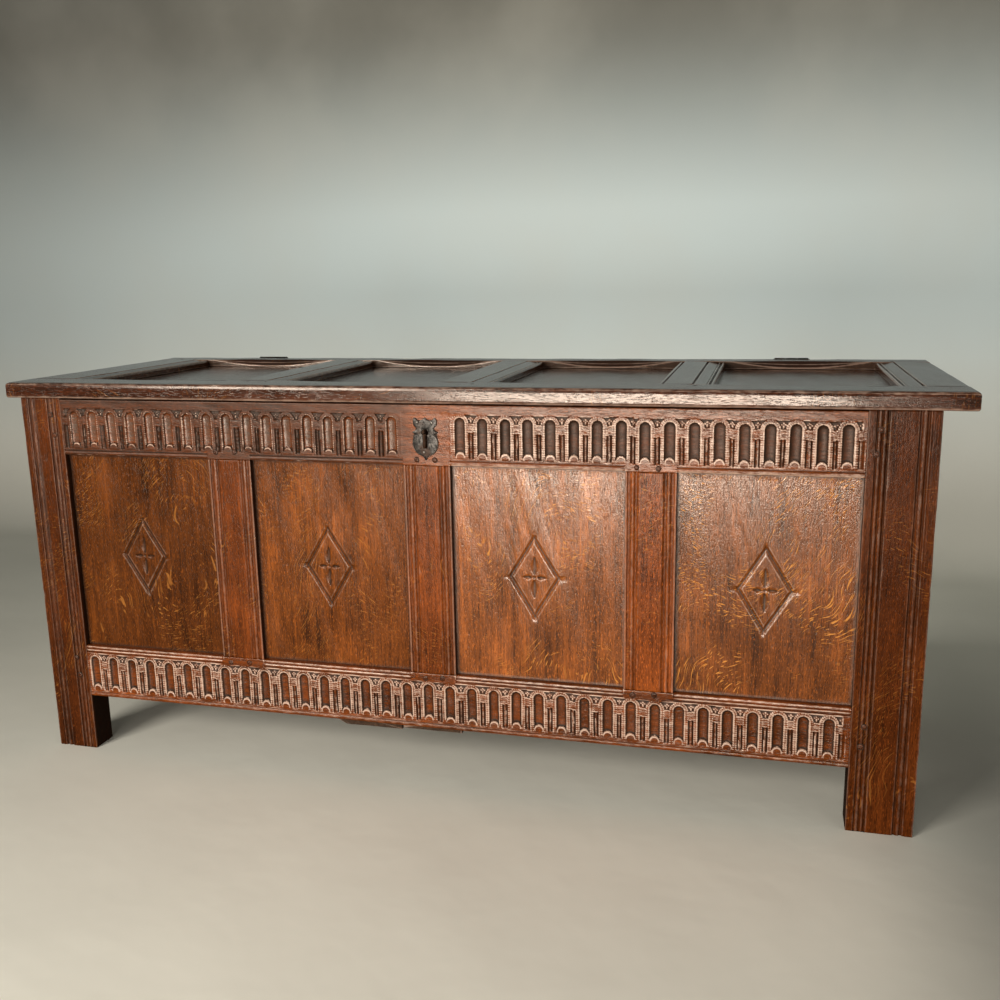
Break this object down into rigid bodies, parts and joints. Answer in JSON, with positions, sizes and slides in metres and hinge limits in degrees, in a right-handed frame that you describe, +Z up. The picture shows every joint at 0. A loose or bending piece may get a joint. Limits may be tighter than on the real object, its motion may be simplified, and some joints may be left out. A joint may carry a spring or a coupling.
{
  "type": "coffer chest",
  "caption": "Joined oak coffer with carved front rails, recessed panels with lozenges, a framed lid that lifts on iron hinges, and an iron chest lock with a sliding bolt.",
  "frame": {"origin": "on the floor, under the middle of the whole chest's bounding box with the lid closed", "axes": "+X to the right as seen from the front, +Y to the back, +Z up; the carved front faces -Y"},
  "size_m": [1.606, 0.5584, 0.7003],
  "materials": {
    "frame_oak": "waxed, worn satin",
    "panel_oak": "waxed, polished",
    "board_oak": "dry, unpolished",
    "lid_oak": "dark wax, polished",
    "wrought_iron": "forged, darkened"
  },
  "bodies": {
    "chest": {"front_post_left": "frame_oak", "front_post_right": "frame_oak", "front_top_rail": "frame_oak", "front_bottom_rail": "frame_oak", "front_muntin_1": "frame_oak", "front_muntin_2": "frame_oak", "front_muntin_3": "frame_oak", "front_panel_1": "panel_oak", "front_panel_2": "panel_oak", "front_panel_3": "panel_oak", "front_panel_4": "panel_oak", "back_post_left": "frame_oak", "back_post_right": "frame_oak", "back_top_rail": "frame_oak", "back_bottom_rail": "frame_oak", "back_muntin_1": "frame_oak", "back_muntin_2": "frame_oak", "back_panel_1": "frame_oak", "back_panel_2": "frame_oak", "back_panel_3": "frame_oak", "left_end_top_rail": "frame_oak", "left_end_bottom_rail": "frame_oak", "left_end_muntin": "frame_oak", "left_end_panel_1": "frame_oak", "left_end_panel_2": "frame_oak", "right_end_top_rail": "frame_oak", "right_end_bottom_rail": "frame_oak", "right_end_muntin": "frame_oak", "right_end_panel_1": "frame_oak", "right_end_panel_2": "frame_oak", "bottom_board_1": "board_oak", "bottom_board_2": "board_oak", "bottom_board_3": "board_oak", "bottom_board_4": "board_oak", "bottom_board_5": "board_oak", "bottom_board_6": "board_oak", "bottom_board_7": "board_oak", "bottom_board_8": "board_oak", "hinge_left_strap": "wrought_iron", "hinge_right_strap": "wrought_iron", "hinge_left_pin": "wrought_iron", "hinge_right_pin": "wrought_iron", "lock_plate": "wrought_iron", "lock_case": "wrought_iron"},
    "lid": {"lid_front_rail": "lid_oak", "lid_back_rail": "lid_oak", "lid_left_rail": "lid_oak", "lid_right_rail": "lid_oak", "lid_muntin_1": "lid_oak", "lid_muntin_2": "lid_oak", "lid_muntin_3": "lid_oak", "lid_panel_1": "lid_oak", "lid_panel_2": "lid_oak", "lid_panel_3": "lid_oak", "lid_panel_4": "lid_oak", "hinge_left_lid_leaf": "wrought_iron", "hinge_right_lid_leaf": "wrought_iron", "lid_hasp": "wrought_iron"},
    "bolt": {"lock_bolt": "wrought_iron"}
  },
  "joints": [
    {"name": "lid_hinge", "type": "hinge", "parent": "chest", "child": "lid", "pos_m": [0, 0.27325, 0.6943], "axis": [-1, 0, 0], "range_deg": [0, 100]},
    {"name": "bolt_slide", "type": "slide", "parent": "chest", "child": "bolt", "axis": [1, 0, 0], "range_m": [0, 0.012]}
  ]
}
